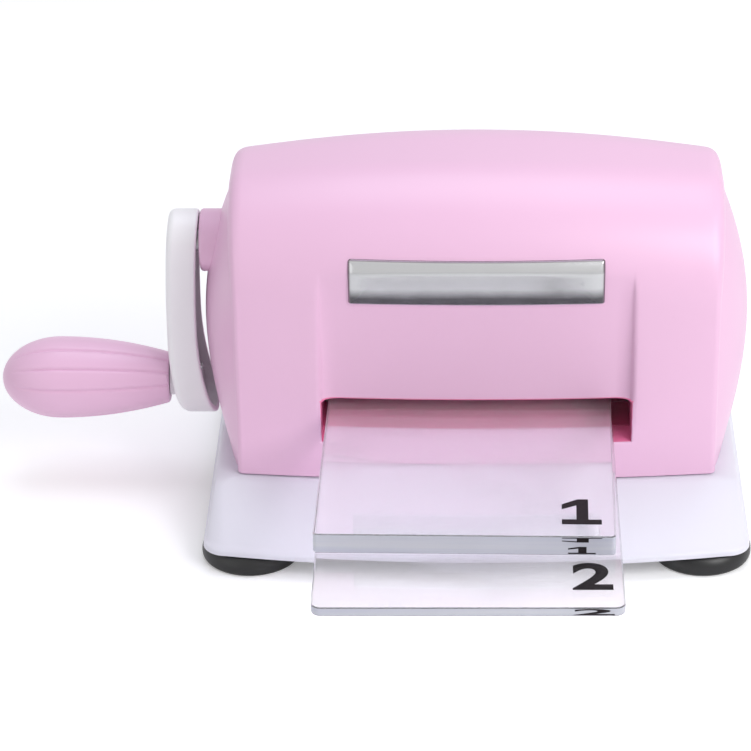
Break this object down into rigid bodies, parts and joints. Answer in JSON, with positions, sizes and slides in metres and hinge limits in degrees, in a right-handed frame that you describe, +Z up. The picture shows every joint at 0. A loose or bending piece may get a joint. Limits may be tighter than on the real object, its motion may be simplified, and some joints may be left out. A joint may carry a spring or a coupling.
{
  "type": "die cutting machine",
  "caption": "Hand-cranked tabletop die cutting machine: geared rollers in a crowned housing on a base with suction cups, with clear cutting plates in its feed slot.",
  "frame": {"origin": "on the table, midway between the four suction cups", "axes": "+X to the right with the crank on the -X end, +Y to the rear along the feed direction, +Z up"},
  "size_m": [0.2529, 0.2215, 0.1224],
  "materials": {
    "pink_shell": "satin moulded ABS",
    "white_shell": "satin moulded ABS",
    "rubber": "smooth black rubber",
    "zinc_sheet": "zinc plated sheet",
    "bright_steel": "turned bright steel",
    "bronze": "sintered bronze",
    "nylon": "natural nylon",
    "silver_label": "silver foil under clear resin",
    "clear_acrylic": "clear acrylic with light scratches"
  },
  "bodies": {
    "machine": {"base_shell": "white_shell", "base_plate": "zinc_sheet", "suction_cup_front_left": "rubber", "suction_cup_front_right": "rubber", "suction_cup_rear_left": "rubber", "suction_cup_rear_right": "rubber", "side_frame_left": "zinc_sheet", "side_frame_right": "zinc_sheet", "tie_rod_lower_front": "bright_steel", "tie_rod_lower_rear": "bright_steel", "tie_rod_upper_front": "bright_steel", "tie_rod_upper_rear": "bright_steel", "bush_lower_left": "bronze", "bush_lower_right": "bronze", "bush_upper_left": "bronze", "bush_upper_right": "bronze", "crank_bush_inner": "bronze", "crank_bush_outer": "bronze", "center_cover": "pink_shell", "end_cover_left": "pink_shell", "end_cover_right": "pink_shell", "label_plate": "silver_label", "cover_screws": "bright_steel", "base_plate_screws": "bright_steel", "frame_screws": "bright_steel", "tie_rod_screws": "bright_steel", "end_cover_screws": "bright_steel"},
    "upper_roller_set": {"upper_roller": "bright_steel", "upper_roller_clips": "bright_steel", "sync_gear_upper": "nylon", "drive_gear": "nylon"},
    "lower_roller_set": {"lower_roller": "bright_steel", "lower_roller_clips": "bright_steel", "sync_gear_lower": "nylon"},
    "crank": {"crank_shaft": "bright_steel", "crank_shaft_clip": "bright_steel", "crank_pinion": "nylon", "crank_arm": "white_shell", "crank_screw": "bright_steel", "handle_spindle": "bright_steel", "handle_collar": "white_shell"},
    "handle": {"crank_handle": "pink_shell"},
    "thin_plate": {"cutting_plate_thin": "clear_acrylic"},
    "thick_plate": {"cutting_plate_thick": "clear_acrylic"}
  },
  "joints": [
    {"name": "crank_turn", "type": "hinge", "parent": "machine", "child": "crank", "pos_m": [0, 0, 0.0892], "axis": [1, 0, 0], "continuous": true},
    {"name": "upper_roller_spin", "type": "hinge", "parent": "machine", "child": "upper_roller_set", "pos_m": [0, 0, 0.0562], "axis": [1, 0, 0], "continuous": true},
    {"name": "lower_roller_spin", "type": "hinge", "parent": "machine", "child": "lower_roller_set", "pos_m": [0, 0, 0.0258], "axis": [1, 0, 0], "continuous": true},
    {"name": "handle_spin", "type": "hinge", "parent": "crank", "child": "handle", "pos_m": [-0.13, 0, 0.0372], "axis": [1, 0, 0], "continuous": true},
    {"name": "thin_plate_feed", "type": "slide", "parent": "machine", "child": "thin_plate", "axis": [0, 1, 0], "range_m": [0, 0.15]},
    {"name": "thick_plate_feed", "type": "slide", "parent": "machine", "child": "thick_plate", "axis": [0, 1, 0], "range_m": [-0.03, 0.117]}
  ],
  "couplings": [
    {"joint": "upper_roller_spin", "follows": "crank_turn", "ratio": -0.375},
    {"joint": "lower_roller_spin", "follows": "crank_turn", "ratio": 0.375}
  ]
}
